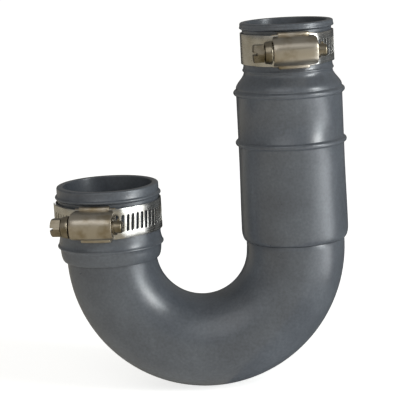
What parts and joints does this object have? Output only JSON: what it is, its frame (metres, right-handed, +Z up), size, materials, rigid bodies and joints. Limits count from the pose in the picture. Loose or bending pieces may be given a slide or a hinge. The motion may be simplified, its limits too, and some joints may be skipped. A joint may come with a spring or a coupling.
{
  "type": "p trap",
  "caption": "Flexible rubber J-bend waste trap with a sleeve inlet, a collar outlet and worm-drive clamps that turn and tighten.",
  "frame": {"origin": "centre of the inlet's mouth, in the plane of its rim", "axes": "+Z up out of the inlet along its leg's axis; the outlet leg stands towards -X and also opens towards +Z; the clamp screws face -Y"},
  "size_m": [0.1412, 0.064, 0.1748],
  "materials": {
    "soft_pvc": "satin moulded elastomer, mid-dark blue-grey",
    "band_steel": "bright rolled stainless strip",
    "housing_steel": "pressed stainless sheet, smooth",
    "screw_steel": "bright headed and rolled stainless"
  },
  "bodies": {
    "trap": {"trap_bend": "soft_pvc", "inlet_sleeve": "soft_pvc", "outlet_collar": "soft_pvc"},
    "inlet_clamp": {"inlet_clamp_band": "band_steel", "inlet_clamp_housing": "housing_steel", "inlet_clamp_saddle": "housing_steel"},
    "inlet_screw": {"inlet_clamp_screw": "screw_steel"},
    "inlet_tail": {"inlet_clamp_band_tail": "band_steel"},
    "outlet_clamp": {"outlet_clamp_band": "band_steel", "outlet_clamp_housing": "housing_steel", "outlet_clamp_saddle": "housing_steel"},
    "outlet_screw": {"outlet_clamp_screw": "screw_steel"},
    "outlet_tail": {"outlet_clamp_band_tail": "band_steel"}
  },
  "joints": [
    {"name": "inlet_clamp_turn", "type": "hinge", "parent": "trap", "child": "inlet_clamp", "pos_m": [0, 0, -0.012], "axis": [0, 0, 1], "continuous": true},
    {"name": "inlet_screw_turn", "type": "hinge", "parent": "inlet_clamp", "child": "inlet_screw", "pos_m": [0.00205, -0.02789, -0.012], "axis": [0.9973, 0.0732, 0], "range_deg": [-360, 720]},
    {"name": "inlet_tail_travel", "type": "hinge", "parent": "inlet_clamp", "child": "inlet_tail", "pos_m": [0, 0, -0.012], "axis": [0, 0, 1], "range_deg": [-14.1, 7.2]},
    {"name": "outlet_clamp_turn", "type": "hinge", "parent": "trap", "child": "outlet_clamp", "pos_m": [-0.0886, 0, -0.0877], "axis": [0, 0, 1], "continuous": true},
    {"name": "outlet_screw_turn", "type": "hinge", "parent": "outlet_clamp", "child": "outlet_screw", "pos_m": [-0.09513, -0.03048, -0.0877], "axis": [0.9778, -0.2096, 0], "range_deg": [-360, 720]},
    {"name": "outlet_tail_travel", "type": "hinge", "parent": "outlet_clamp", "child": "outlet_tail", "pos_m": [-0.0886, 0, -0.0877], "axis": [0, 0, 1], "range_deg": [-12.5, 6.4]}
  ],
  "couplings": [
    {"joint": "inlet_tail_travel", "follows": "inlet_screw_turn", "ratio": -0.019285},
    {"joint": "outlet_tail_travel", "follows": "outlet_screw_turn", "ratio": -0.016976}
  ]
}
